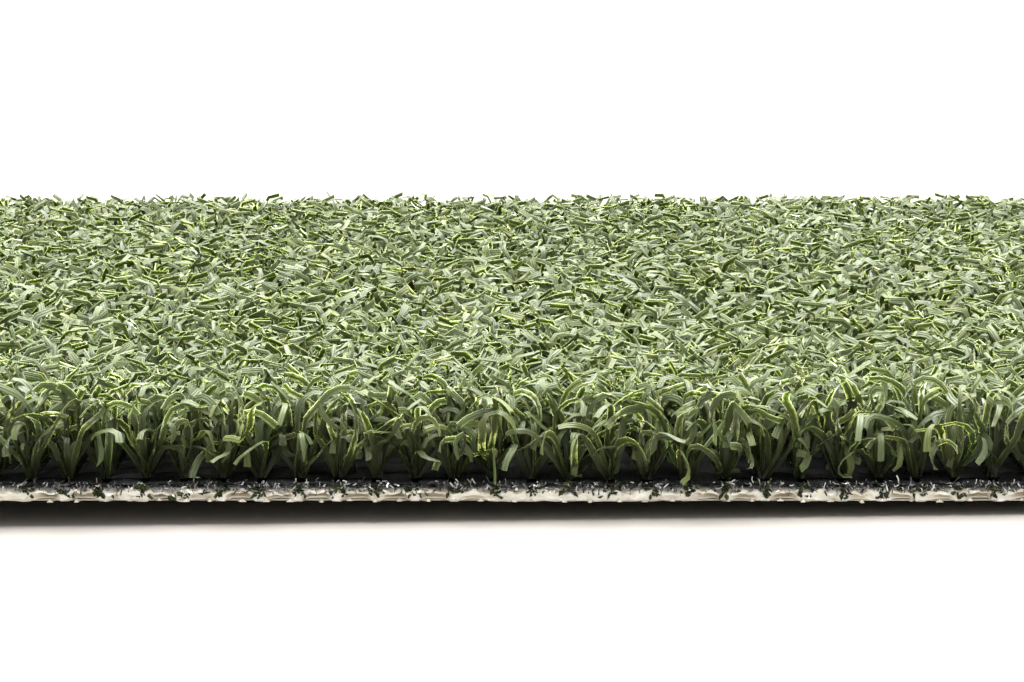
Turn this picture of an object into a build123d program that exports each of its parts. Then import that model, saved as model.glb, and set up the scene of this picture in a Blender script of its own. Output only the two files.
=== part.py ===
"""A golf hitting mat: cut-pile turf tufted into a woven cloth, locked by a latex coat on an open scrim.

X runs along the mat's front edge, Y to its back edge and Z up. The origin is at the middle of the
underside. Every row of yarn runs along Y, sewn by one needle: the yarn goes down through the cloth at
a stitch, along its underside and up again, and the latex locks what lies underneath.
"""

import os

from build123d import *

# Overall sizes, in millimetres
mat_width = 609.6
mat_depth = 304.8

# Tufting
row_pitch = 4.7625  # from one needle to the next
stitch_pitch = 4.2333
stitches_per_neck = 3  # stitches that one modelled neck stands for
yarn_width = 1.6  # of one bundle of yarn, gathered in its needle hole
hole_clearance = 0.05  # from the bundle to the tapes round it, on each side

# Pile
pile_height = 12.0  # above the cloth
pile_end_margin = 1.6  # bare cloth at the front and back edges
fan_height = 4.2  # above the cloth, where a tuft has spread to most of its width
fan_share = 0.82  # of the pile's width at the top
pile_gap = 0.16  # between two rows
crown_radius = 0.9

# Backing layers
scrim_thickness = 0.4
latex_under_stitch = 0.55
back_stitch_depth = 0.75
tape_thickness = 0.5
weft_tape_width = 3.5
weft_gap = 0.2
narrowest_tape = 0.5

# The rows are shared out among this many nodes
pile_node_count = 32

# Heights of the layers, from the floor up
latex_bottom = scrim_thickness
weft_bottom = latex_bottom + latex_under_stitch + back_stitch_depth
warp_bottom = weft_bottom + tape_thickness
cloth_top = warp_bottom + tape_thickness
pile_top = cloth_top + pile_height

# Places of the rows and of their necks, centred on the mat
hole_width = yarn_width + 2 * hole_clearance
pile_width = row_pitch - pile_gap
pile_depth = mat_depth - 2 * pile_end_margin
neck_pitch = stitch_pitch * stitches_per_neck
whole_pitches = 1e-3  # keeps a size that is a whole number of pitches from losing one by rounding
row_count = int(mat_width / row_pitch + whole_pitches)
neck_count = int(pile_depth / neck_pitch + whole_pitches)
row_places = [(i - (row_count - 1) / 2) * row_pitch for i in range(row_count)]
neck_places = [(i - (neck_count - 1) / 2) * neck_pitch for i in range(neck_count)]


def clear_spans(holes, overall):
    """The spans (start, end) that holes at these places leave clear across an overall size."""
    edges = [-overall / 2]
    for place in holes:
        edges += [place - hole_width / 2, place + hole_width / 2]
    edges.append(overall / 2)
    return [(a, b) for a, b in zip(edges[::2], edges[1::2]) if b - a > narrowest_tape]


def tapes_in(start, end):
    """The tapes (middle, width) that fill a clear span side by side, each about one weft tape wide."""
    count = max(1, round((end - start + weft_gap) / (weft_tape_width + weft_gap)))
    width = (end - start - weft_gap * (count - 1)) / count
    return [(start + width / 2 + i * (width + weft_gap), width) for i in range(count)]


os.makedirs("parts", exist_ok=True)

# Secondary scrim: the open-weave cloth on the underside, as one sheet of its full thickness
with BuildPart() as secondary_scrim:
    with BuildSketch():
        Rectangle(mat_width, mat_depth)
    extrude(amount=scrim_thickness)

secondary_scrim.part.label = "secondary_scrim"
export_step(secondary_scrim.part, "parts/secondary_scrim.step")

# The half-round section of the yarn along the cloth's underside, flat side up
with BuildSketch() as back_stitch:
    with BuildLine():
        ThreePointArc((-yarn_width / 2, 0), (0, -back_stitch_depth), (yarn_width / 2, 0))
        Line((yarn_width / 2, 0), (-yarn_width / 2, 0))
    make_face()

# Latex coat: a sheet with a half-round groove round every back stitch
with BuildPart() as latex_coat:
    with BuildSketch(Plane.XZ.offset(-mat_depth / 2)):
        with Locations((0, (latex_bottom + weft_bottom) / 2)):
            Rectangle(mat_width, weft_bottom - latex_bottom)
        with Locations(*[(x, weft_bottom) for x in row_places]):
            add(back_stitch.sketch_local, mode=Mode.SUBTRACT)
    extrude(amount=mat_depth)

latex_coat.part.label = "latex_coat"
export_step(latex_coat.part, "parts/latex_coat.step")

# Woven cloth, lower layer: the weft tapes, which run along X on each side of the yarn's necks
weft_tapes = [tape for span in clear_spans(neck_places, mat_depth) for tape in tapes_in(*span)]
with BuildPart() as primary_cloth_weft:
    with BuildSketch(Plane.XY.offset(weft_bottom)):
        for middle, width in weft_tapes:
            with Locations((0, middle)):
                Rectangle(mat_width, width)
    extrude(amount=tape_thickness)

primary_cloth_weft.part.label = "primary_cloth_weft"
export_step(primary_cloth_weft.part, "parts/primary_cloth_weft.step")

# Woven cloth, upper layer: the warp tapes, which run along Y between the rows of yarn
with BuildPart() as primary_cloth_warp:
    with BuildSketch(Plane.XY.offset(warp_bottom)):
        for start, end in clear_spans(row_places, mat_width):
            with Locations(((start + end) / 2, 0)):
                Rectangle(end - start, mat_depth)
    extrude(amount=tape_thickness)

primary_cloth_warp.part.label = "primary_cloth_warp"
export_step(primary_cloth_warp.part, "parts/primary_cloth_warp.step")

# One row of yarn at the middle of the mat: its fanned pile, its necks and its back stitch
with BuildPart() as yarn_row:
    with BuildSketch(Plane.XZ.offset(-pile_depth / 2)):
        with BuildLine():
            Polyline(
                (-yarn_width / 2, cloth_top),
                (yarn_width / 2, cloth_top),
                (fan_share * pile_width / 2, cloth_top + fan_height),
                (pile_width / 2, pile_top),
                (-pile_width / 2, pile_top),
                (-fan_share * pile_width / 2, cloth_top + fan_height),
                close=True,
            )
        fan = make_face()
        fillet(fan.vertices().group_by(Axis.Y)[-1], radius=crown_radius)
    extrude(amount=pile_depth)
    with BuildSketch(Plane.XY.offset(weft_bottom)):
        with Locations(*[(0, y) for y in neck_places]):
            Circle(yarn_width / 2)
    extrude(amount=cloth_top - weft_bottom)
    with BuildSketch(Plane.XZ.offset(-mat_depth / 2)):
        with Locations((0, weft_bottom)):
            add(back_stitch.sketch_local)
    extrude(amount=mat_depth)

# Pile rows: the rows of yarn, each a solid of its own, shared out evenly among the nodes
for index in range(pile_node_count):
    first = round(index * row_count / pile_node_count)
    last = round((index + 1) * row_count / pile_node_count)
    name = f"pile_rows_{index + 1:02d}"
    with BuildPart() as pile_rows:
        with Locations(*[(x, 0, 0) for x in row_places[first:last]]):
            add(yarn_row.part)
    pile_rows.part.label = name
    export_step(pile_rows.part, f"parts/{name}.step")
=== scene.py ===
# %% [markdown]
# # A golf hitting mat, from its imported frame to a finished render
#
# The real mat is tufted turf. A needle pushes loops of curly flat yarn down through a woven black cloth,
# row beside row, and the loops are cut. A coat of cream latex on the underside locks the yarn, and an
# open-weave scrim pressed into the latex finishes the back. The frame that this script loads holds one
# plain solid for each of those layers and for each group of rows. Here each solid is replaced by what the
# real layer is made of: ribbons, tapes, lumpy latex and threads.
#
# Nearly everything in a mat is a thin strip that follows a path, so one function, `strips`, makes most of
# the meshes. What changes from piece to piece is the family of paths that it is given.

import bpy
import numpy as np
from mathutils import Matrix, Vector


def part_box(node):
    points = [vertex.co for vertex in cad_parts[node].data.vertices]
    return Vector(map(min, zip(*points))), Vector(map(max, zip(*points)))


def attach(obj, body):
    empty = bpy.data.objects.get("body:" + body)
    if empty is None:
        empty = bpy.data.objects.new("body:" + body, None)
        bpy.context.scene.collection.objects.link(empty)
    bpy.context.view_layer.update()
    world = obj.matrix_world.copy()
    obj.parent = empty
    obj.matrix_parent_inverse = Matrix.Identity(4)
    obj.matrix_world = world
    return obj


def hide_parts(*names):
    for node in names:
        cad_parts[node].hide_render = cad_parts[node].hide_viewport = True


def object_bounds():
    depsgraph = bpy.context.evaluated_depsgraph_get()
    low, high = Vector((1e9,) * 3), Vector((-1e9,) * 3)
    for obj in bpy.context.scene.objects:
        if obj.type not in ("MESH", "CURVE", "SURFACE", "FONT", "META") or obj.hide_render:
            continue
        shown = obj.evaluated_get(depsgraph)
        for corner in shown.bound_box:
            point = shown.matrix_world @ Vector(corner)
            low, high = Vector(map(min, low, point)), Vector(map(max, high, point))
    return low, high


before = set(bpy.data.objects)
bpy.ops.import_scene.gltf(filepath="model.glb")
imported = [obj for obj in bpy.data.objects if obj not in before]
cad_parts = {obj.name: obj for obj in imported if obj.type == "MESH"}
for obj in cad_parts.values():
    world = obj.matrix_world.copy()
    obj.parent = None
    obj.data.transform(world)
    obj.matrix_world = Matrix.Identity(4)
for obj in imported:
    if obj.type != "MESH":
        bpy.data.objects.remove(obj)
cad_low, cad_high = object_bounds()
print("CAD box, mm:", np.round(np.array(cad_low) * 1000, 2), np.round(np.array(cad_high) * 1000, 2))

# %% [markdown]
# ## Sizes
#
# The layers' heights could be typed in again, but then they might drift away from the solids. They are read
# from the frame's own boxes instead. Only the spacing of the rows and of the stitches has to be repeated,
# because no box holds it.

# %% Sizes, in metres, that the pieces share
MM = 0.001
scrim_low, scrim_high = (np.array(corner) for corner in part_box("secondary_scrim"))
latex_low, latex_high = (np.array(corner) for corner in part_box("latex_coat"))
weft_low = np.array(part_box("primary_cloth_weft")[0])
warp_high = np.array(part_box("primary_cloth_warp")[1])
half_width, half_depth = scrim_high[0], scrim_high[1]
cloth_top = warp_high[2]
pile_height = cad_high[2] - cloth_top
print("backing and pile height, mm:", round(cloth_top / MM, 2), round(pile_height / MM, 2))

# %% Rows and stitches
ROW_PITCH = 4.7625 * MM
STITCH_PITCH = 4.2333 * MM
END_MARGIN = 1.6 * MM  # from the last stitch's place to the mat's edge
row_count = int(2 * half_width / ROW_PITCH + 1e-3)
stitch_count = int((2 * half_depth - 2 * END_MARGIN) / STITCH_PITCH + 0.5)
row_places = (np.arange(row_count) - (row_count - 1) / 2) * ROW_PITCH
stitch_places = (np.arange(stitch_count) - (stitch_count - 1) / 2) * STITCH_PITCH
pile_nodes = sorted(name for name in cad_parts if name.startswith("pile_rows"))
print("rows:", row_count, "stitches in a row:", stitch_count, "pile nodes:", len(pile_nodes))

# %% [markdown]
# ## Strips along paths
#
# A ribbon could be a single sheet of quads, but then it has no thickness, and light leaks through its
# edges. A box section costs eight triangles for each step along the path. A low triangle, flat below with a
# ridge above, costs six, closes properly, and its ridge catches the light like the fold in a real ribbon.
# With two million triangles at stake that difference matters, so every strip here has that section.
#
# The UV map has one upright column for each shade of the material. A strip picks a column at random, so
# thousands of strips share a small map and still differ from their neighbours.

# %% A section carried along many paths at once
SHADES = 32  # columns of the UV map


def strips(rng, paths, across, thickness):
    """Closed strips along many paths, as vertices, quads, end triangles and a UV for each vertex.

    paths is (strips, rings, 3). across is a vector from the middle to one edge at each ring, so its length
    is half the strip's width. The ridge stands off the middle by the thickness, along the cross product of
    the path's direction and across. Ring r of strip s holds the vertices 3 * (s * rings + r) + (0, 1, 2):
    left edge, right edge, ridge. u runs across the strip within its own column, v along it from 0 to 1.
    """
    count, rings = paths.shape[:2]
    column = rng.integers(0, SHADES, count)
    ridge = np.cross(np.gradient(paths, axis=1), across)
    ridge *= (thickness / np.maximum(np.linalg.norm(ridge, axis=2), 1e-12))[..., None]
    vertices = np.stack([paths - across, paths + across, paths + ridge], axis=2).reshape(-1, 3)

    first = 3 * (np.arange(count)[:, None] * rings + np.arange(rings - 1)[None, :])
    sides = [(first, first + 1), (first + 1, first + 2), (first + 2, first)]
    quads = np.stack([np.stack([p, p + 3, q + 3, q], axis=-1) for p, q in sides], axis=2).reshape(-1, 4)
    start = 3 * np.arange(count) * rings
    end = start + 3 * (rings - 1)
    caps = np.concatenate(
        [np.stack([start, start + 1, start + 2], axis=1), np.stack([end + 2, end + 1, end], axis=1)]
    )

    u = (column[:, None, None] + 0.5 + np.array([-0.42, 0.42, 0.0])) / SHADES
    v = np.linspace(0.02, 0.98, rings)[None, :, None] + np.array([0, 0, 0.004])
    v = np.broadcast_to(v, (count, rings, 3))
    uv = np.stack(np.broadcast_arrays(u, v), axis=-1).reshape(-1, 2)
    return vertices, quads, caps, uv


def joined(parts):
    """Puts several results of strips into one, with each part's vertex numbers moved past the last's."""
    offsets = np.cumsum([0] + [len(part[0]) for part in parts])
    return (
        np.concatenate([part[0] for part in parts]),
        np.concatenate([part[1] + offset for part, offset in zip(parts, offsets)]),
        np.concatenate([part[2] + offset for part, offset in zip(parts, offsets)]),
        np.concatenate([part[3] for part in parts]),
    )


upright = np.linspace([0, 0, 0], [0, 0, 3 * MM], 4)[None]
sample = strips(np.random.default_rng(0), upright, np.full((1, 4, 3), [MM, 0, 0]), 0.2 * MM)
print("a strip with 4 rings:", len(sample[0]), "vertices,", len(sample[1]), "quads,", len(sample[2]), "ends")

# %% [markdown]
# ## From arrays to pieces
#
# A mesh can be filled face by face, but with this many faces that takes minutes. `foreach_set` copies a
# whole array in one call.

# %% Arrays into a mesh object
triangle_counts = {}


def mesh_object(name, vertices, quads, triangles, uv, material, sharp_angle=1.45):
    """A new object whose mesh is written from whole arrays: corners first, then faces, then UVs.

    uv has one row for each vertex, and every corner of a face takes its vertex's row. Edges that bend by
    more than sharp_angle, in radians, are shaded sharp and the rest smooth.
    """
    mesh = bpy.data.meshes.new(name)
    corners = np.concatenate([quads.ravel(), triangles.ravel()]).astype(np.int32)
    sizes = np.concatenate([np.full(len(quads), 4), np.full(len(triangles), 3)]).astype(np.int32)
    mesh.vertices.add(len(vertices))
    mesh.vertices.foreach_set("co", vertices.astype(np.float32).ravel())
    mesh.loops.add(len(corners))
    mesh.loops.foreach_set("vertex_index", corners)
    mesh.polygons.add(len(sizes))
    mesh.polygons.foreach_set("loop_start", (np.cumsum(sizes) - sizes).astype(np.int32))
    mesh.update(calc_edges=True)
    if uv is not None:
        layer = mesh.uv_layers.new(name="OFBake")
        layer.data.foreach_set("uv", uv[corners].astype(np.float32).ravel())
    mesh.shade_smooth()
    mesh.set_sharp_from_angle(angle=sharp_angle)
    mesh.materials.append(material)
    thing = bpy.data.objects.new(name, mesh)
    bpy.context.collection.objects.link(thing)
    return thing


def finish_piece(thing, slot, *nodes):
    """Rides the piece on the mat's one body and hides the solids that it stands for. slot is not used."""
    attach(thing, "root")
    if nodes:
        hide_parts(*nodes)
    triangle_counts[thing.name] = len(thing.data.loops) - 2 * len(thing.data.polygons)
    print(thing.name, "has", triangle_counts[thing.name], "triangles")
    return thing


# %% [markdown]
# ## Lumps
#
# Latex, cut edges and frayed threads are uneven, but not noisy like sand: they swell and sink over a
# millimetre or two. A short sum of cosine waves in random directions gives such lumps anywhere in space,
# as one formula, with no table to look up.

# %% A smooth random field
WAVES = 20


def lumps(seed, size, *places):
    """Soft lumps about as wide as size: cosine waves in random directions, added up, mostly -1 to 1."""
    rng = np.random.default_rng(seed)
    waves = rng.normal(size=(WAVES, len(places)))
    waves *= (rng.uniform(0.5, 1.5, WAVES) / np.linalg.norm(waves, axis=1))[:, None] * np.pi / size
    phases = rng.uniform(0, 2 * np.pi, WAVES)
    inside = (sum(w * p for w, p in zip(wave, places)) + phase for wave, phase in zip(waves, phases))
    return sum(np.cos(value) for value in inside) / WAVES ** 0.5


print("lumps at the origin:", round(float(lumps(1, 2 * MM, np.zeros(1), np.zeros(1))[0]), 3))

# %% [markdown]
# ## Node helpers
#
# Materials are built from nodes in code. A few short helpers keep each recipe readable: one makes a node
# and sets its plain values, one does arithmetic, one makes a colour ramp and one mixes two colours.

# %% Helpers that make nodes
def new_material(name):
    """A material with its default nodes, as (material, nodes, links, principled shader)."""
    material = bpy.data.materials.new(name)
    material.use_nodes = True
    nodes = material.node_tree.nodes
    print("new material:", name)
    return material, nodes, material.node_tree.links, nodes["Principled BSDF"]


def add_node(nodes, kind, inputs=None, **settings):
    """A node of the kind, with its settings and with values for its named inputs."""
    node = nodes.new(kind)
    for key, value in settings.items():
        setattr(node, key, value)
    for key, value in (inputs or {}).items():
        node.inputs[key].default_value = value
    return node


# %% Helpers for numbers and colours
def plug(links, sockets, values):
    """Fills sockets in turn: a number or an RGB colour is set, and another node's output is linked."""
    for socket, value in zip(sockets, values):
        if isinstance(value, (int, float)):
            socket.default_value = value
        elif isinstance(value, tuple):
            socket.default_value = (*value, 1)
        else:
            links.new(value, socket)


def maths(nodes, links, operation, *values):
    """One arithmetic node. Each value is a number or another node's output."""
    node = add_node(nodes, "ShaderNodeMath", operation=operation)
    plug(links, node.inputs, values)
    return node.outputs[0]


def ramp(nodes, links, factor, stops):
    """A colour ramp through (place, (red, green, blue)) stops."""
    node = nodes.new("ShaderNodeValToRGB")
    while len(node.color_ramp.elements) < len(stops):
        node.color_ramp.elements.new(0.5)
    for element, (place, colour) in zip(node.color_ramp.elements, stops):
        element.position = place
        element.color = (*colour, 1)
    links.new(factor, node.inputs[0])
    return node.outputs[0]


def mixed(nodes, links, blend, factor, first, second):
    """A colour mix. The factor is a number or an output, and both colours are outputs or RGB values."""
    node = add_node(nodes, "ShaderNodeMix", data_type="RGBA", blend_type=blend)
    plug(links, (node.inputs[0], node.inputs[6], node.inputs[7]), (factor, first, second))
    return node.outputs[2]


# %% [markdown]
# ## A finish for anything drawn or slit into a strip
#
# Yarn, cloth tape, scrim thread and frayed fibre are all drawn plastic: satin, a little uneven from strip
# to strip, with fine lines along their length. All of that follows the strip and not the room, so the
# recipe reads only the strip's own UV map. Each column of the map draws one shade by chance. The place
# across the column gives the edges, painted another colour, and the ribs, with painted shade in their
# grooves. The place along it gives painted shade that darkens each strip towards its root.
#
# Thin green plastic also lets a little light through. A small share of subsurface scattering gives that
# soft glow. It needs a real thickness to travel in, which is one more reason for closed strips.

# %% What the UV map says about a place on a strip
def strip_places(nodes, links):
    """The map's u and v, the column with its fraction, and the place across the column from 0 to 1."""
    place = add_node(nodes, "ShaderNodeUVMap", uv_map="OFBake")
    split = nodes.new("ShaderNodeSeparateXYZ")
    links.new(place.outputs[0], split.inputs[0])
    u, v = split.outputs[0], split.outputs[1]
    column = maths(nodes, links, "MULTIPLY", u, float(SHADES))
    return u, v, column, maths(nodes, links, "FRACT", column)


def strip_shade(nodes, links, column, shades):
    """One colour for the whole column: white noise of its number, looked up in the ramp of shades."""
    chance = add_node(nodes, "ShaderNodeTexWhiteNoise", noise_dimensions="1D")
    links.new(maths(nodes, links, "FLOOR", column), chance.inputs["W"])
    return ramp(nodes, links, chance.outputs["Value"], shades)


def strip_streaks(nodes, links, u, v):
    """Noise that is stretched along the strip: it changes 9 times across a column and 6 times along it."""
    streaks_at = nodes.new("ShaderNodeCombineXYZ")
    links.new(maths(nodes, links, "MULTIPLY", u, SHADES * 9.0), streaks_at.inputs[0])
    links.new(maths(nodes, links, "MULTIPLY", v, 6.0), streaks_at.inputs[1])
    streaks = add_node(
        nodes, "ShaderNodeTexNoise", {"Scale": 1.0, "Detail": 3.0, "Roughness": 0.6}, noise_dimensions="2D"
    )
    links.new(streaks_at.outputs[0], streaks.inputs["Vector"])
    return streaks.outputs["Fac"]


def strip_edges(nodes, links, across, edge_share):
    """Painted edge colour: 0 over the middle, rising to edge_share at both edges, by |2 * across - 1|."""
    off_middle = maths(nodes, links, "ABSOLUTE", maths(nodes, links, "MULTIPLY_ADD", across, 2.0, -1.0))
    near_edge = add_node(
        nodes, "ShaderNodeMapRange", {"From Min": 0.55, "From Max": 0.85, "To Max": edge_share}
    )
    links.new(off_middle, near_edge.inputs["Value"])
    return near_edge.outputs[0]


# %% The strip finish
def strip_finish(name, shades, edge, edge_share, painted_root_shade, ribs, groove_shade_depth, gloss, bump_height,
                 glow=0.0, shine=0.5):
    """A material for strips, by their UV column, place across and place along.

    shades are ramp stops for the columns' colours. edge is a colour painted at both edges, and edge_share how
    much of it shows there: on the yarn a more yellow green, painted for light shining through the thin
    edges; on the tape and the fibre the edges come out lighter, and on the thread darker. painted_root_shade
    is the brightness at v = 0: painted shade, darkest at the root. ribs is the number of lengthwise ribs,
    and groove_shade_depth how dark the painted shade in the grooves between them is.
    gloss is (roughness, how far the streaks change it), and shine the specular level. glow is the share of
    light that passes through the thin plastic and scatters inside it, green and red further than blue.
    """
    material, nodes, links, shader = new_material(name)
    u, v, column, across = strip_places(nodes, links)
    streak = strip_streaks(nodes, links, u, v)
    colour = strip_shade(nodes, links, column, shades)
    # painted edge colour: on the yarn it stands for light shining through the thin edges
    colour = mixed(nodes, links, "MIX", strip_edges(nodes, links, across, edge_share), colour, edge)

    # tint: painted shade in the grooves between ribs and towards the root, and darker in the streaks
    rib = maths(nodes, links, "COSINE", maths(nodes, links, "MULTIPLY", across, 2 * np.pi * ribs))
    rib = maths(nodes, links, "MULTIPLY_ADD", rib, 0.5, 0.5)
    # painted shade in the grooves between the ribs
    groove_shade = maths(nodes, links, "MULTIPLY_ADD", rib, groove_shade_depth, 1 - groove_shade_depth)
    worn = maths(nodes, links, "MULTIPLY_ADD", streak, 0.5, 0.75)
    # painted shade: darker towards the root, v = 0, for the shade deep in the pile
    root = add_node(nodes, "ShaderNodeMapRange", {"From Max": 0.92, "To Min": painted_root_shade, "To Max": 1.0})
    links.new(v, root.inputs["Value"])
    tint = maths(nodes, links, "MULTIPLY", maths(nodes, links, "MULTIPLY", groove_shade, worn), root.outputs[0])
    colour = mixed(nodes, links, "MULTIPLY", 1.0, colour, tint)

    links.new(colour, shader.inputs["Base Color"])
    links.new(maths(nodes, links, "MULTIPLY_ADD", streak, gloss[1], gloss[0]), shader.inputs["Roughness"])
    bump = add_node(nodes, "ShaderNodeBump", {"Strength": 0.6, "Distance": bump_height})
    links.new(maths(nodes, links, "MULTIPLY_ADD", streak, 0.4, rib), bump.inputs["Height"])
    links.new(bump.outputs[0], shader.inputs["Normal"])
    shader.inputs["Specular IOR Level"].default_value = shine
    shader.inputs["Subsurface Weight"].default_value = glow
    shader.inputs["Subsurface Radius"].default_value = (0.85, 1.0, 0.45)
    shader.inputs["Subsurface Scale"].default_value = 0.5 * MM
    return material


# %% Yarn and cloth tape
yarn = strip_finish(
    "pile_yarn",
    shades=[
        (0.0, (0.078, 0.104, 0.037)),
        (0.4, (0.106, 0.135, 0.058)),
        (0.75, (0.130, 0.160, 0.079)),
        (0.83, (0.132, 0.157, 0.050)),
        (1.0, (0.150, 0.176, 0.060)),
    ],
    edge=(0.10, 0.125, 0.04), edge_share=0.35, painted_root_shade=0.15, ribs=3, groove_shade_depth=0.2,
    gloss=(0.33, 0.2), bump_height=0.06 * MM, glow=0.42, shine=0.22,
)
tape = strip_finish(
    "black_tape",
    shades=[(0.0, (0.004, 0.004, 0.005)), (1.0, (0.013, 0.013, 0.014))],
    edge=(0.02, 0.02, 0.02), edge_share=0.5, painted_root_shade=1.0, ribs=9, groove_shade_depth=0.3,
    gloss=(0.42, 0.25), bump_height=0.03 * MM, shine=0.1,
)

# %% Frayed fibre and scrim thread
fray = strip_finish(
    "frayed_fibre",
    shades=[
        (0.0, (0.006, 0.006, 0.007)),
        (0.6, (0.02, 0.02, 0.022)),
        # the pale shades are partly latex and partly painted highlights on black fibre
        (0.68, (0.20, 0.20, 0.19)),
        (1.0, (0.86, 0.84, 0.78)),
    ],
    edge=(0.5, 0.5, 0.48), edge_share=0.25, painted_root_shade=1.0, ribs=1, groove_shade_depth=0.1,
    gloss=(0.22, 0.2), bump_height=0.01 * MM,
)
thread = strip_finish(
    "scrim_thread",
    shades=[(0.0, (0.72, 0.66, 0.52)), (1.0, (0.86, 0.82, 0.70))],
    edge=(0.62, 0.56, 0.42), edge_share=0.5, painted_root_shade=1.0, ribs=4, groove_shade_depth=0.25,
    gloss=(0.55, 0.2), bump_height=0.04 * MM,
)

# %% [markdown]
# ## The pile
#
# Each stitch leaves a tuft: ribbons that stand out of one needle hole like a small fan, rise for about
# half their length, then curl over and lie in a tangle at the sheared top. A hair system could grow such
# strands, but it hides how the shape is made and can't be measured against the frame's solids. Instead
# each ribbon's direction is a formula in its own length, and adding up the direction gives the path.

# %% The angles and the path of a ribbon
FINE = 48  # steps along a path while its direction is added up


def one_each(rng, count, low, high):
    """An evenly spread random number for each of count ribbons, as a column."""
    return rng.uniform(low, high, (count, 1))


def waving(rng, count, low, high, t):
    """A sine along t for each ribbon: between low and high waves in its length, from a random phase."""
    return np.sin(2 * np.pi * (one_each(rng, count, low, high) * t + one_each(rng, count, 0, 1)))


def ribbon_angles(rng, lean, sort, t):
    """Each ribbon's angle from upright and its compass direction, in radians, at the lengths t.

    The first goes from the lean at the root to the ribbon's own end tilt, to the other side in three ribbons
    out of ten, and the second from the lean's compass direction through the ribbon's turn. Both ease in as
    ((t - start) / (1 - start)) ** 1.4, and a small wave is added to both.
    """
    count = len(lean)
    tilt = np.linalg.norm(lean, axis=1)[:, None]
    compass = np.arctan2(lean[:, 1], lean[:, 0])[:, None]
    start = one_each(rng, count, *sort["curl_from"])
    ease = np.clip((t - start) / (1 - start), 0, 1) ** 1.4
    end_tilt = np.radians(one_each(rng, count, *sort["end_tilt"]))
    end_tilt = np.where(rng.random((count, 1)) < 0.3, -end_tilt, end_tilt)
    wave = np.radians(one_each(rng, count, 0, sort["wave"])) * np.minimum(3 * t, 1)
    polar = tilt + (end_tilt - tilt) * ease + wave * waving(rng, count, 1.0, 2.4, t)
    compass = compass + np.radians(rng.normal(0, sort["turn"], (count, 1))) * ease
    compass = compass + 1.5 * wave * waving(rng, count, 0.8, 2.0, t)
    return polar, compass


def ribbon_paths(rng, roots, lean, sort):
    """Ribbons that start at the roots, as paths (ribbons, rings, 3) and half-width vectors.

    The direction at length t is (sin p cos a, sin p sin a, cos p), where p and a are the ribbon's angles
    there. The directions are added up along t, and the path is scaled so that its highest point is the
    ribbon's own height, or less where it would be longer than the longest ribbon. The flat side turns
    slowly about the path from root to tip, and the root is half as wide.
    """
    count = len(roots)
    t = np.linspace(0, 1, FINE)[None, :]
    polar, compass = ribbon_angles(rng, lean, sort, t)
    direction = np.stack(
        [np.sin(polar) * np.cos(compass), np.sin(polar) * np.sin(compass), np.cos(polar)], axis=-1
    )
    path = (np.cumsum(direction, axis=1) - direction[:, :1]) / FINE
    low, high = sort["heights"]
    height = pile_height * (high - (high - low) * rng.random(count) ** 1.5)
    top = np.maximum(path[:, :, 2].max(axis=1), 0.05)
    path *= np.minimum(height / top, sort["longest"])[:, None, None]

    level = np.stack([-np.sin(compass), np.cos(compass), np.zeros_like(compass)], axis=-1)
    rise = np.stack(
        [np.cos(polar) * np.cos(compass), np.cos(polar) * np.sin(compass), -np.sin(polar)], axis=-1
    )
    twist = np.radians(rng.normal(0, sort["twist"], (count, 1)) + rng.normal(0, 80, (count, 1)) * t)
    half = 0.5 * one_each(rng, count, *sort["width"]) * np.interp(t, [0, 0.2, 1], [0.55, 1, 0.97])
    across = (np.cos(twist)[..., None] * level + np.sin(twist)[..., None] * rise) * half[..., None]
    picks = np.round(np.asarray(sort["rings_at"]) * (FINE - 1)).astype(int)
    return roots[:, None, :] + path[:, picks], across[:, picks]


print("steps in a ribbon's path, before a few are picked as rings:", FINE)


# %% [markdown]
# ## Sorts of ribbon
#
# At the cut front edge a whole ribbon shows, from the needle hole to its tip, so it needs many rings for a
# smooth curl. Behind it only the upper half shows, and in the field only the tangle at the top. Every tuft
# could have the front's nineteen ribbons of eleven rings, but 9,088 such tufts come to many times the
# triangles that the mat may have. So the tufts are put in zones. Away from the front there are fewer
# ribbons, a little wider so that the cover stays closed, and their few rings sit where they curl. The rim
# along the other edges is thinner than the front, and its ribbons flop outwards.

# %% The numbers of a sort
LEAST_RINGS = [0, 0.6, 0.82, 1]
FEW_RINGS = [0, 0.54, 0.7, 0.86, 1]
SOME_RINGS = [0, 0.36, 0.54, 0.7, 0.86, 1]
MANY_RINGS = [0, 0.14, 0.28, 0.4, 0.5, 0.59, 0.68, 0.76, 0.84, 0.92, 1]


def sort_of(ribbons, rings_at, lean, heights, end_tilt, push=0, width=(0.7, 0.92), thick=(0.2, 0.3), wave=14,
            longest=16, curl_from=(0.35, 0.6), turn=110, twist=55):
    """The numbers of one sort of ribbon. A pair is (least, most).

    ribbons is how many a tuft has, and rings_at the places of the rings as shares of the length. heights
    and curl_from are shares of the pile's height and of the length. lean, end_tilt, push, wave, turn and
    twist are degrees, and width, thick and longest are millimetres.
    """
    return dict(
        ribbons=ribbons, rings_at=rings_at, lean=lean, heights=heights, end_tilt=end_tilt, push=push,
        width=np.array(width) * MM, thick=np.array(thick) * MM, wave=wave, longest=longest * MM,
        curl_from=curl_from, turn=turn, twist=twist,
    )


print("triangles in a ribbon, least and most:", 6 * len(LEAST_RINGS) - 4, 6 * len(MANY_RINGS) - 4)

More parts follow.
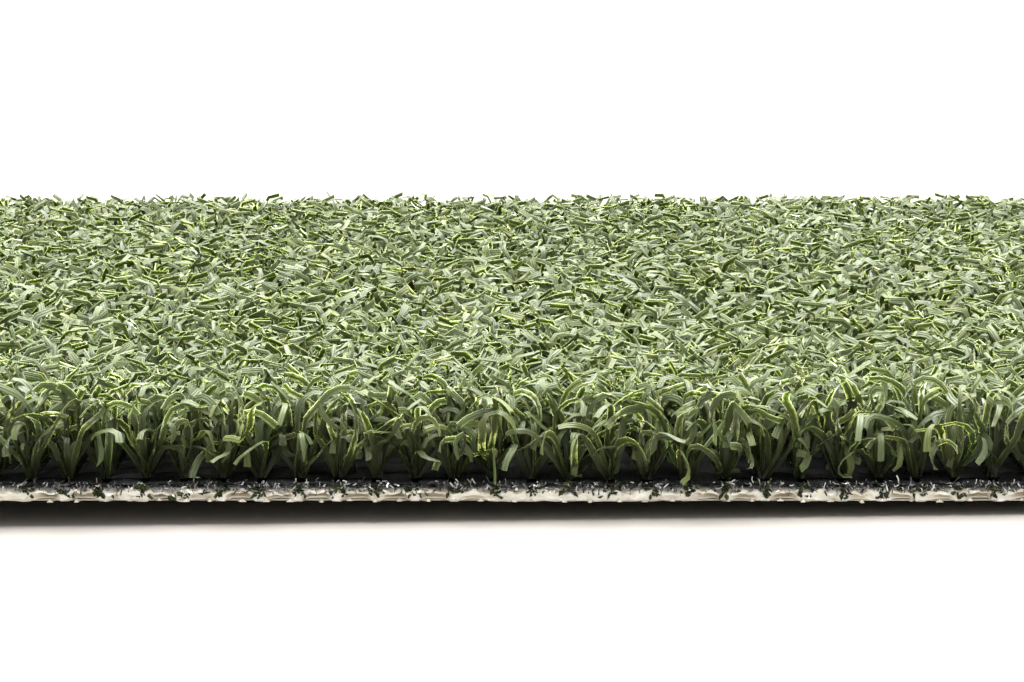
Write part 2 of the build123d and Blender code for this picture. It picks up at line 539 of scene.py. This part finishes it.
# %% Which zone has which sorts
FRONT_LOOK = dict(width=(0.72, 1.02), thick=(0.12, 0.2), wave=34)
ZONES = {
    "field": [
        sort_of(5, LEAST_RINGS, (6, 40), (0.94, 1.06), (75, 135), width=(0.84, 1.08), wave=22,
                curl_from=(0.25, 0.5)),
    ],
    "middle": [
        sort_of(4, SOME_RINGS, (3, 36), (0.92, 1.06), (65, 185), width=(0.7, 0.96), wave=28),
        sort_of(3, LEAST_RINGS, (5, 40), (0.84, 1.03), (70, 140), width=(0.7, 0.96), wave=22),
    ],
    "near": [
        sort_of(10, SOME_RINGS, (3, 34), (0.88, 1.05), (70, 215), width=(0.5, 0.86), wave=30,
                thick=(0.14, 0.22)),
        sort_of(3, FEW_RINGS, (8, 40), (0.5, 0.92), (70, 170), width=(0.6, 0.95), wave=20),
    ],
    "rim": [
        sort_of(6, SOME_RINGS, (3, 34), (0.9, 1.05), (60, 160), push=9, wave=20),
        sort_of(4, SOME_RINGS, (12, 45), (0.3, 0.85), (80, 200), push=16, wave=22),
    ],
    "front": [
        sort_of(9, MANY_RINGS, (2, 34), (0.82, 1.03), (45, 170), push=2, curl_from=(0.2, 0.55),
                **FRONT_LOOK),
        sort_of(10, MANY_RINGS, (8, 40), (0.3, 0.9), (70, 270), push=5, curl_from=(0.15, 0.5),
                longest=12, **FRONT_LOOK),
    ],
}
FRONT_STITCHES, NEAR_STITCHES, MIDDLE_STITCHES, RIM_STITCHES = 2, 6, 17, 2  # counted from the edge


def zone_of(rows, stitches):
    """The zone's name for each tuft, from its row and its stitch, counted from the front."""
    side = np.minimum(rows, row_count - 1 - rows)
    back = stitch_count - 1 - stitches
    zone = np.full(len(rows), "field", dtype=object)
    zone[stitches < MIDDLE_STITCHES] = "middle"
    zone[stitches < NEAR_STITCHES] = "near"
    zone[(side < RIM_STITCHES) | (back < RIM_STITCHES)] = "rim"
    zone[stitches < FRONT_STITCHES] = "front"
    return zone


print("ribbons in a tuft:", {name: sum(sort["ribbons"] for sort in sorts) for name, sorts in ZONES.items()})

# %% [markdown]
# ## Stitches that drift
#
# The cut along the front edge isn't quite square to the stitches. Along some stretches it runs beside a
# line of needle holes, and there the yarn's legs show over the cloth's edge, down to the latex. A slow
# cosine along X moves the stitches to and fro by a millimetre or so.

# %% Drift, needle holes and leans
HOLE_RADIUS = 0.58 * MM
FLOP_REACH = 7 * MM


def drift(x):
    """How far the stitches at x lie nearer to the front than their even places."""
    return (1.1 * np.cos(2 * np.pi * (x - 18 * MM) / (88 * MM)) + 0.5 * lumps(5, 30 * MM, x)) * MM


def hole_roots(rng, x, y):
    """Roots spread evenly over round needle holes, and lower where the hole is cut open at the front."""
    spot = rng.uniform(0, 2 * np.pi, len(x))
    away = HOLE_RADIUS * np.sqrt(rng.random(len(x)))
    cut_open = np.clip((-half_depth + 1.0 * MM - y) / (0.6 * MM), 0, 1)
    z = cloth_top - (0.3 + 1.3 * cut_open) * MM
    return np.stack([x + away * np.cos(spot), y + away * np.sin(spot) * (1 - 0.7 * cut_open), z], axis=1)


def outward(places, half):
    """How far an edge lets a tuft flop over: 1 at the edge, falling to 0 at the reach, signed outward."""
    return np.sign(places) * np.clip(1 - (half - np.abs(places)) / FLOP_REACH, 0, 1)


def leans(rng, x, y, sort):
    """Leans as vectors, with the angle as their length: any compass direction, plus the flop outwards."""
    tilt = np.radians(rng.uniform(*sort["lean"], len(x)))
    way = rng.uniform(0, 2 * np.pi, len(x))
    lean = np.stack([tilt * np.cos(way), tilt * np.sin(way)], axis=1)
    lean[:, 0] += np.radians(sort["push"]) * outward(x, half_width)
    lean[:, 1] += np.radians(sort["push"]) * outward(y, half_depth)
    return lean


print("drift along the front, mm:", np.round(drift(np.linspace(-half_width, half_width, 9)) / MM, 1))

# %% [markdown]
# ## Back stitches
#
# Under the cloth the yarn runs from hole to hole as a flattened bundle, sunk in the latex. Only its cut
# ends show, at the front and back edges, as a small ruffle of yarn ends in the cream. The long hidden part
# is one strip, and each end gets a dozen short stubs that poke out unevenly. A stub's path runs inwards from
# its cut end, so that the end is at v = 0, where the painted root shade is darkest.

# %% The bundle and its cut ends
STUBS = 12
BUNDLE_HALF, BUNDLE_THICK, STUB_THICK = 0.7 * MM, 0.6 * MM, 0.2 * MM


def bundles(rng, places):
    """One long bundle of yarn for each row at these places along X, just over the latex."""
    path = np.zeros((len(places), 3, 3))
    path[..., 0] = places[:, None]
    path[..., 1] = np.linspace(-half_depth + 1.2 * MM, half_depth - 1.2 * MM, 3)
    path[..., 2] = latex_high[2] + 0.06 * MM
    across = np.broadcast_to(np.array([BUNDLE_HALF, 0, 0]), path.shape)
    points, quads, caps, uv = strips(rng, path, across, BUNDLE_THICK)
    # painted shade: v is kept near the root, so the bundle takes the root's painted shade all along
    uv[:, 1] = 0.15 + 0.2 * uv[:, 1]  # the shade of a ribbon near its root, all along
    return points, quads, caps, uv


def stubs(rng, places):
    """Short yarn ends at the front and back of each row: straight out of the face, swaying by step ** 2."""
    x = np.repeat(places, 2 * STUBS)
    side = np.tile(np.repeat([-1.0, 1.0], STUBS), len(places))
    count = len(x)
    step = np.linspace(1, 0, 4)[None, :]
    reach = rng.uniform(0.9, 1.7, (count, 1)) * MM
    sway = rng.normal(0, 0.5, (count, 2)) * MM
    start_x = x + rng.normal(0, 0.42, count) * MM
    start_z = latex_high[2] - rng.uniform(0.0, 0.7, count) * MM
    path = np.stack([
        start_x[:, None] + sway[:, :1] * step ** 2,
        side[:, None] * (half_depth - 1.0 * MM + reach * step),
        start_z[:, None] + sway[:, 1:] * step ** 2,
    ], axis=-1)
    path[..., 2] = np.maximum(path[..., 2], latex_low[2] + 0.2 * MM)
    roll = rng.uniform(0, np.pi, (count, 1))
    half = rng.uniform(0.16, 0.36, (count, 1)) * MM
    across = np.stack([np.cos(roll) * half, 0 * half, np.sin(roll) * half], axis=-1) * np.ones((1, 4, 1))
    return strips(rng, path, across, STUB_THICK)


print("cut ends on a row, front and back:", 2 * STUBS)

# %% [markdown]
# ## One piece for each group of rows
#
# Four neighbouring rows are one solid group in the frame, so they are one piece here too. All ribbons of a
# sort in a zone are made in one call, whichever of the four rows they stand in. A ribbon that curls right
# over mustn't dip into the cloth, or outside the mat into the floor, so its rings are lifted to a lowest
# height.

# %% The pile pieces
def tuft_ribbons(rng, x, y, sort):
    """Ribbons of one sort, one for each x and y, kept above the cloth, or above the floor outside it."""
    roots = hole_roots(rng, x, y)
    paths, across = ribbon_paths(rng, roots, leans(rng, x, y, sort), sort)
    over_cloth = (np.abs(paths[..., 0]) < half_width) & (np.abs(paths[..., 1]) < half_depth)
    lowest = np.where(over_cloth, cloth_top + 0.3 * MM, latex_low[2] + 0.4 * MM)
    paths[:, 1:, 2] = np.maximum(paths[:, 1:, 2], lowest[:, 1:])
    return strips(rng, paths, across, rng.uniform(*sort["thick"], (len(x), 1)))


def pile_piece(index, rows):
    """One group of rows as a single piece: its tufts by zone and its back stitches, joined into one mesh."""
    rng = np.random.default_rng([2027, index])
    row, stitch = (grid.ravel() for grid in np.meshgrid(rows, np.arange(stitch_count), indexing="ij"))
    zones = zone_of(row, stitch)
    parts = []
    for name, sorts in ZONES.items():
        chosen = np.flatnonzero(zones == name)
        for sort in sorts if len(chosen) else []:
            tuft = np.repeat(chosen, sort["ribbons"])
            x = row_places[row[tuft]]
            y = np.maximum(stitch_places[stitch[tuft]] - drift(x), -half_depth + 0.2 * MM)
            parts.append(tuft_ribbons(rng, x, y, sort))
    parts.append(bundles(rng, row_places[rows]))
    parts.append(stubs(rng, row_places[rows]))
    node = pile_nodes[index]
    return finish_piece(mesh_object(node + "_yarn", *joined(parts), yarn), "pile_yarn", node)


for index in range(len(pile_nodes)):
    first = round(index * row_count / len(pile_nodes))
    last = round((index + 1) * row_count / len(pile_nodes))
    pile_piece(index, np.arange(first, last))
print("pile triangles:", sum(triangle_counts.values()))

# %% [markdown]
# ## The woven cloth
#
# The cloth is black slit tape, woven plain: each weft tape goes over one warp tape and under the next. A
# picture of a weave would do for the middle of the mat, which the pile hides, but the cut edges show the
# real layers. So every tape is a strip whose height follows the crossings: up, down, up, down.

# %% Weft and warp
CRIMP = 0.2 * MM
TAPE_THICK = 0.09 * MM
weft_places = np.concatenate([
    [-half_depth + 0.9 * MM], (stitch_places[1:] + stitch_places[:-1]) / 2, [half_depth - 0.9 * MM]
])
warp_places = np.concatenate([
    [-half_width + 0.8 * MM], (row_places[1:] + row_places[:-1]) / 2, [half_width - 0.8 * MM]
])
weft_width = np.full(len(weft_places), STITCH_PITCH - 0.7 * MM)
weft_width[[0, -1]] = 1.6 * MM
warp_width = np.full(len(warp_places), ROW_PITCH - 1.3 * MM)
warp_width[[0, -1]] = 1.4 * MM
cloth_middle = (weft_low[2] + warp_high[2]) / 2


def woven(own_places, cross_places, along_x, end, width, phase, rng):
    """Tapes of one direction: path height is CRIMP * (-1) ** (tape + crossing + phase), flat at the ends."""
    crossings = np.concatenate([[-end], cross_places, [end]])
    number = np.arange(len(crossings)) + np.arange(len(own_places))[:, None] + phase
    height = np.where(number % 2 == 0, CRIMP, -CRIMP)
    height[:, [0, -1]] *= 0.3
    runs = np.broadcast_to(crossings, height.shape)
    sway = 0.12 * MM * rng.normal(size=height.shape)
    steady = own_places[:, None] + sway
    order = [runs, steady] if along_x else [steady, runs]
    paths = np.stack([*order, cloth_middle + height], axis=-1)
    half = np.zeros_like(paths)
    half[..., 1 if along_x else 0] = (0.5 if along_x else -0.5) * width[:, None]
    return strips(rng, paths, half, TAPE_THICK)


rng = np.random.default_rng(31)
weft_strips = woven(weft_places, warp_places, True, half_width, weft_width, 0, rng)
warp_strips = woven(warp_places, weft_places, False, half_depth, warp_width, 1, rng)
weft = mesh_object("weft_tapes", *weft_strips, tape)
warp = mesh_object("warp_tapes", *warp_strips, tape)
finish_piece(weft, "black_cloth", "primary_cloth_weft")
finish_piece(warp, "black_cloth", "primary_cloth_warp")

# %% [markdown]
# ## Frayed edges
#
# Where the cloth is cut, its tapes split into fine fibres that curl and catch the light. Each fibre is a
# tiny strip that leaves the edge and bends away at random: black ones mostly, and some pale, partly flecks
# of latex and partly painted highlights on black fibre.
# The front edge, which is seen closest, has the most.

# %% Fibres along one straight edge
FRONT_FIBRES, OTHER_FIBRES = 9.5, 0.7  # for each millimetre of edge
FIBRE_REACH, FIBRE_THICK = 0.55 * MM, 0.05 * MM


def fibres(rng, length, per_mm, z_low, z_high):
    """Fibres on a straight edge along X from -length / 2 to length / 2 that faces -Y, at y = 0.

    A fibre's direction starts outward and swings by a random walk, and three steps of it are added up.
    """
    count = int(length / MM * per_mm)
    x = rng.uniform(-length / 2, length / 2, count)
    z = rng.uniform(z_low, z_high, count)
    outwards = np.tile([[[0, -1.0, 0]]], (count, 1, 1))
    direction = np.cumsum(np.concatenate([outwards, rng.normal(0, 0.95, (count, 3, 3))], axis=1), axis=1)
    direction /= np.linalg.norm(direction, axis=2, keepdims=True)
    size = rng.uniform(0.35, 1.0, (count, 1, 1)) ** 1.5 * FIBRE_REACH
    path = np.cumsum(direction * size, axis=1)
    path = np.concatenate([np.zeros((count, 1, 3)), path], axis=1)[:, :4]
    path += np.stack([x, rng.uniform(0.1, 0.5, count) * MM, z], axis=-1)[:, None, :]
    path[..., 2] = np.maximum(path[..., 2], z_low - 0.5 * MM)
    side = np.cross(np.gradient(path, axis=1), rng.normal(size=(count, 1, 3)))
    side *= rng.uniform(0.04, 0.12, (count, 1, 1)) * MM / np.linalg.norm(side, axis=2, keepdims=True)
    return path, side


print("fibres on the front edge:", int(2 * half_width / MM * FRONT_FIBRES))

# %% Fibres along the four cut edges
def turned(vectors, quarter):
    """Turns vectors about Z by a number of quarter turns."""
    x, y = vectors[..., 0], vectors[..., 1]
    for _ in range(quarter):
        x, y = -y, x
    return np.stack([x, y, vectors[..., 2]], axis=-1)


def fringe(z_low, z_high, seed):
    """Fibres on all four edges of the mat between two heights, as one joined result of strips."""
    parts = []
    for quarter, (length, out) in enumerate([(half_width, half_depth), (half_depth, half_width)] * 2):
        rng = np.random.default_rng([seed, quarter])
        per_mm = OTHER_FIBRES if quarter else FRONT_FIBRES
        path, side = fibres(rng, 2 * length, per_mm, z_low, z_high)
        path = turned(path + np.array([0, -out, 0]), quarter)
        parts.append(strips(rng, path, turned(side, quarter), FIBRE_THICK))
    return joined(parts)


edge_fibres = fringe(weft_low[2] - 0.35 * MM, warp_high[2] - 0.1 * MM, 41)
cloth_fringe = finish_piece(mesh_object("cloth_fringe", *edge_fibres, fray), "black_cloth")

# %% [markdown]
# ## The latex coat
#
# The latex was spread as a froth and squeezed between the cloth and the scrim. Where it covers a back
# stitch it is full height; between two stitches it often sank away and left an arched hollow over the scrim.
# The coat is one closed tube with a flat, wide section that is carried along X. Its front and back faces are
# pushed in by a hollow between each two rows, which opens and closes along the mat, and in and out by lumps,
# as a cut through foam is. Along the cut the upper edge is torn a little and the lower edge rises over each
# hollow.

# %% How the froth sank
def arch(x):
    """How open the hollow is at x: 0 over a row of stitches, and a flat-topped arch between two rows."""
    between = np.abs((x / ROW_PITCH) % 1 - 0.5) * 2  # rows lie half a pitch from the middle of the mat
    return np.clip((between - 0.22) / 0.4, 0, 1) ** 0.7


def openness(x, y):
    """How far the froth has sunk between the rows: 0 along a few full stretches, up to about 1 elsewhere."""
    full = np.maximum(np.cos(2 * np.pi * (x - 8 * MM) / (118 * MM)), 0) ** 4
    uneven = np.clip(0.9 + 0.5 * lumps(10, 3 * MM, x, y), 0.2, 1.2)
    return np.clip(1.0 - 1.5 * full + 0.3 * lumps(9, 11 * MM, x, y), 0, 1) * uneven


between_rows = np.arange(-60, 61) * ROW_PITCH
print("open hollows:", round(float(np.mean(openness(between_rows, -half_depth + 0 * between_rows) > 0.5)), 2))

# %% The section, carried along X
LATEX_RINGS = 1281
BEVEL = 0.1 * MM


def latex_section():
    """The section's corners, as Y and the share of the height. They run from the front's lower edge along
    the underside to the back, up the back face, over the top and down the front face."""
    across_y = np.concatenate([
        [-half_depth + BEVEL], np.linspace(-1, 1, 13) * (half_depth - 1.2 * MM), [half_depth - BEVEL],
        np.full(4, half_depth),
        [half_depth - BEVEL, half_depth - 0.6 * MM, -half_depth + 0.6 * MM, -half_depth + BEVEL],
        np.full(7, -half_depth),
    ])
    share_z = np.concatenate([
        np.zeros(15), [0.16, 0.4, 0.65, 0.9], np.ones(4), [0.93, 0.8, 0.67, 0.54, 0.4, 0.27, 0.13]
    ])
    return across_y, share_z


def latex_shape():
    """The coat's points, rings along X by corners round the section, and each one's painted shade: in a
    hollow, and in a ragged band along the top of the cut face under the cloth's edge.

    z goes from the underside to the top by the corner's share. A face is pushed in by its hollow, 0.8 mm
    where that is fully open, and in and out by lumps.
    """
    across_y, share_z = latex_section()
    x, y = np.meshgrid(np.linspace(-half_width, half_width, LATEX_RINGS), across_y, indexing="ij")
    share = np.broadcast_to(share_z, x.shape)
    sunk = openness(x, y) * arch(x)
    rim = np.abs(y) > half_depth - 0.15 * MM
    under = scrim_low[2] + (0.08 + 0.1 * sunk) * MM + 0.05 * MM * (1 + lumps(11, 1.6 * MM, x, y))
    under = under + 0.35 * MM * rim * sunk
    top = latex_high[2] - rim * np.clip(0.3 + 0.3 * lumps(15, 0.9 * MM, x, y), 0, 0.75) * MM
    z = under + (top - under) * share
    on_face = (np.abs(y) > half_depth - 0.05 * MM) & (share > 0) & (share < 1)
    hollow_top = 0.58 + 0.12 * lumps(14, 2.2 * MM, x, y)
    # pocket pushes the face in, and the same share is painted shade in the hollow
    pocket = sunk * np.clip((hollow_top - share) / 0.14, 0, 1) * np.clip((share - 0.04) / 0.1, 0, 1)
    rough = 0.2 * lumps(12, 1.1 * MM, x, 2 * z) + 0.12 * lumps(13, 0.45 * MM, x, 2 * z) - 0.8 * pocket
    y = y + np.where(on_face, np.sign(y) * rough * MM, 0)
    # painted shade: a ragged dark band along the top of the cut face, under the cloth's edge
    shade_under_cloth = rim * (share > 0.85) * np.clip(0.6 + 0.4 * lumps(16, 1.3 * MM, x, y), 0, 1)
    return np.stack([x, y, z], axis=-1), np.maximum(np.where(on_face, pocket, 0), shade_under_cloth)


# %% The tube's faces
def closed_tube(points):
    """Quads between neighbouring rings, and a fan of triangles to a middle point at each end."""
    rings, corners = points.shape[:2]
    vertices = points.reshape(-1, 3)
    around, after = np.arange(corners), (np.arange(corners) + 1) % corners
    start = np.arange(rings - 1)[:, None] * corners
    here, following = start + around, start + after
    quads = np.stack([here, here + corners, following + corners, following], axis=-1).reshape(-1, 4)
    centres = np.array([vertices[:corners].mean(axis=0), vertices[-corners:].mean(axis=0)])
    last = (rings - 1) * corners
    ends = np.concatenate([
        np.stack([around, after, np.full(corners, len(vertices))], axis=1),
        np.stack([last + after, last + around, np.full(corners, len(vertices) + 1)], axis=1),
    ])
    return np.concatenate([vertices, centres]), quads, ends


latex_points, latex_painted_shade = latex_shape()
print("latex rings and corners:", latex_painted_shade.shape)

# %% [markdown]
# ## The latex's finish
#
# Dried latex froth is cream and matt, full of tiny cells, with a few brighter and duller blotches. Its
# hollows, its pores and a ragged band under the cloth's edge are painted darker, as shade. Blotches and
# cells are patterns in the room of the piece itself, so they read Object coordinates. The hollows can't be
# found that way: the shape's own formula knows where they are. It writes their painted shade to the mesh as
# an attribute, one number for each point, and the material mixes a grey-brown in by it.

# %% Cream latex
def latex_finish():
    """Cream froth, matt, with fine cells in the bump. Painted shade makes it a little darker in the pores,
    and darker and greyer in the hollows and under the cloth's edge.
    """
    material, nodes, links, shader = new_material("cream_latex")
    place = nodes.new("ShaderNodeTexCoord").outputs["Object"]
    blotch = add_node(nodes, "ShaderNodeTexNoise", {"Scale": 520.0, "Detail": 4.0, "Roughness": 0.65})
    cells = add_node(nodes, "ShaderNodeTexVoronoi", {"Scale": 1700.0})
    grit = add_node(nodes, "ShaderNodeTexNoise", {"Scale": 3200.0, "Detail": 2.0})
    for node in (blotch, cells, grit):
        links.new(place, node.inputs["Vector"])
    colour = ramp(nodes, links, blotch.outputs["Fac"], [
        (0.28, (0.80, 0.71, 0.53)), (0.38, (0.96, 0.92, 0.79)), (0.5, (1.0, 0.98, 0.88)),
    ])
    # painted shade: a little darker in the pores of the cells
    pore_shade = add_node(
        nodes, "ShaderNodeMapRange", {"From Min": 0.05, "From Max": 0.35, "To Min": 0.9, "To Max": 1.0}
    )
    links.new(cells.outputs["Distance"], pore_shade.inputs["Value"])
    colour = mixed(nodes, links, "MULTIPLY", 1.0, colour, pore_shade.outputs[0])
    # painted shade from the hollow attribute: grey-brown in the hollows and under the cloth's edge
    hollow = add_node(nodes, "ShaderNodeAttribute", attribute_name="hollow")
    colour = mixed(nodes, links, "MIX", hollow.outputs["Fac"], colour, (0.52, 0.45, 0.34))
    links.new(colour, shader.inputs["Base Color"])
    dullness = maths(nodes, links, "MULTIPLY_ADD", blotch.outputs["Fac"], 0.3, 0.6)
    links.new(dullness, shader.inputs["Roughness"])
    height = maths(nodes, links, "MULTIPLY_ADD", grit.outputs["Fac"], 0.6, cells.outputs["Distance"])
    bump = add_node(nodes, "ShaderNodeBump", {"Strength": 0.8, "Distance": 0.15 * MM})
    links.new(height, bump.inputs["Height"])
    links.new(bump.outputs[0], shader.inputs["Normal"])
    shader.inputs["Specular IOR Level"].default_value = 0.3
    return material


latex = mesh_object("latex_foam", *closed_tube(latex_points), None, latex_finish(), sharp_angle=1.2)
# the hollow attribute carries painted shade, for the hollows and the band under the cloth's edge
painted_shade_layer = latex.data.attributes.new("hollow", "FLOAT", "POINT")
painted_shade_values = np.concatenate([latex_painted_shade.ravel(), [0, 0]])  # the two middle points come last
painted_shade_layer.data.foreach_set("value", np.clip(painted_shade_values, 0, 1).astype(np.float32))
finish_piece(latex, "latex", "latex_coat")

# %% [markdown]
# ## The scrim
#
# The secondary cloth is an open net: flat tapes run along X, and soft spun threads run along Y and stick out
# unevenly where they were cut, like teeth along the lower edge.

# %% Tapes and threads of the scrim
THREAD_PITCH, THREAD_HALF, THREAD_THICK = 3.3 * MM, 0.34 * MM, 0.36 * MM
SCRIM_TAPE_PITCH, SCRIM_TAPE_HALF, SCRIM_TAPE_THICK = 2.1 * MM, 0.75 * MM, 0.1 * MM


def scrim_tapes(rng):
    """Flat tapes along X at an even pitch, each swaying a little along its length."""
    tape_y = np.arange(-half_depth + 0.6 * MM, half_depth - 0.5 * MM, SCRIM_TAPE_PITCH)
    run = np.linspace(-half_width, half_width, 26)
    path = np.zeros((len(tape_y), len(run), 3))
    path[..., 0] = run
    path[..., 1] = tape_y[:, None] + 0.12 * MM * rng.normal(size=path.shape[:2])
    path[..., 2] = scrim_low[2] + 0.27 * MM
    across = np.broadcast_to(np.array([0, SCRIM_TAPE_HALF, 0]), path.shape)
    return strips(rng, path, across, SCRIM_TAPE_THICK)


def scrim_threads(rng):
    """Threads along Y of uneven width, whose last short lengths at both ends stick out and go askew."""
    thread_x = np.arange(-half_width + 0.9 * MM, half_width - 0.5 * MM, THREAD_PITCH)
    out = (0.1 + 1.1 * rng.random((2, len(thread_x))) ** 1.6) * MM
    share = np.concatenate([[-1], np.linspace(-0.994, 0.994, 14), [1]])
    run = share[None, :] * np.ones((len(thread_x), 1)) * half_depth
    run[:, 0] -= out[0]
    run[:, -1] += out[1]
    sway = 0.15 * MM * rng.normal(size=run.shape)
    sway[:, [0, -1]] *= 2.2
    height = np.full(run.shape, scrim_low[2] + 0.05 * MM)
    height[:, [0, -1]] += rng.uniform(0, 0.25, (len(thread_x), 2)) * MM
    path = np.stack([thread_x[:, None] + sway, run, height], axis=-1)
    uneven = rng.uniform(0.6, 1.4, (*run.shape, 1))
    across = np.broadcast_to(np.array([-THREAD_HALF, 0, 0]), path.shape) * uneven
    return strips(rng, path, across, THREAD_THICK)


rng = np.random.default_rng(53)
scrim = joined([scrim_tapes(rng), scrim_threads(rng)])
net = finish_piece(mesh_object("scrim_net", *scrim, thread), "scrim", "secondary_scrim")

# %% [markdown]
# ## The cloths' flat size
#
# A sheet's true size is what it was cut to while flat. Both cloths here were cut together with the finished
# mat and never hung or folded, so that size is the mat's own width and depth. The warp and the fringe belong
# to the same cloth as the weft.

print("triangles in all:", sum(triangle_counts.values()))

# %% [markdown]
# ## Floor, light and camera
#
# The mat stands on a pale floor that comes out white. A very light floor would throw so much light back
# that the latex and the lower yarn wash out, so the floor is only mid-pale and the light is strong. In
# front of the mat it sinks by a few millimetres, smoothly, as a soft cover does. That leaves the dark gap
# that shows under an edge which doesn't quite lie down.
#
# The light is one broad panel, high up and a little behind, so that the tangle's top is bright and the
# tufts' feet stay dark, and a white room fills the rest. The camera is low and looks down slightly, through
# a long lens, so the far edge is hardly smaller than the near one.

# %% Floor
def floor():
    """Pale paper: z = -gap * (3 s ** 2 - 2 s ** 3), where s goes from 0 under the mat to 1 in front of it."""
    x = np.concatenate([[-6], np.linspace(-0.45, 0.45, 60), [6]])
    y = np.concatenate([[-6], np.linspace(-half_depth - 0.06, -half_depth + 0.09, 40), [6]])
    x, y = np.meshgrid(x, y, indexing="ij")
    gap = np.interp(x, [-0.07, 0.065], [3.1 * MM, 1.4 * MM])
    s = np.clip((-half_depth + 0.075 - y) / 0.07, 0, 1)
    z = -gap * s * s * (3 - 2 * s)
    rows, columns = x.shape
    corner = np.arange(rows - 1)[:, None] * columns + np.arange(columns - 1)[None, :]
    quads = np.stack([corner, corner + columns, corner + columns + 1, corner + 1], axis=-1).reshape(-1, 4)
    material, nodes, links, shader = new_material("floor_paper")
    shader.inputs["Base Color"].default_value = (0.232, 0.216, 0.197, 1)
    shader.inputs["Roughness"].default_value = 0.9
    points = np.stack([x, y, z], axis=-1).reshape(-1, 3)
    thing = mesh_object("floor", points, quads, np.zeros((0, 3), int), None, material)
    print("floor dips by, mm:", np.round(-z.min() / MM, 2))


floor()

# %% Light
sun = bpy.data.lights.new("sky_panel", "SUN")
sun.energy = 15
sun.angle = np.radians(60)
panel = bpy.data.objects.new("sky_panel", sun)
bpy.context.collection.objects.link(panel)
panel.rotation_euler = Vector((0.05, -0.28, -1)).to_track_quat("-Z", "Y").to_euler()

world = bpy.data.worlds.new("studio")
bpy.context.scene.world = world
world.use_nodes = True
world.node_tree.nodes["Background"].inputs["Color"].default_value = (1, 1, 1, 1)
world.node_tree.nodes["Background"].inputs["Strength"].default_value = 1.05
print("panel strength:", sun.energy, "its width in the sky, degrees:", round(float(np.degrees(sun.angle))))

# %% Camera
camera_distance = 444 * MM  # from the lens to the mat's front edge
camera_height = 71.7 * MM
camera_pitch = np.radians(6.654)  # below level

camera = bpy.data.cameras.new("camera")
camera.sensor_width = 36
camera.lens = 128.99
camera.clip_end = 50
viewer = bpy.data.objects.new("camera", camera)
bpy.context.collection.objects.link(viewer)
viewer.location = (0, -half_depth - camera_distance, camera_height)
viewer.rotation_euler = (np.pi / 2 - camera_pitch, 0, 0)
bpy.context.scene.camera = viewer
bpy.context.scene.view_settings.view_transform = "Standard"
print("lens, mm:", round(camera.lens, 1), "pitch, degrees:", round(float(np.degrees(camera_pitch)), 2))
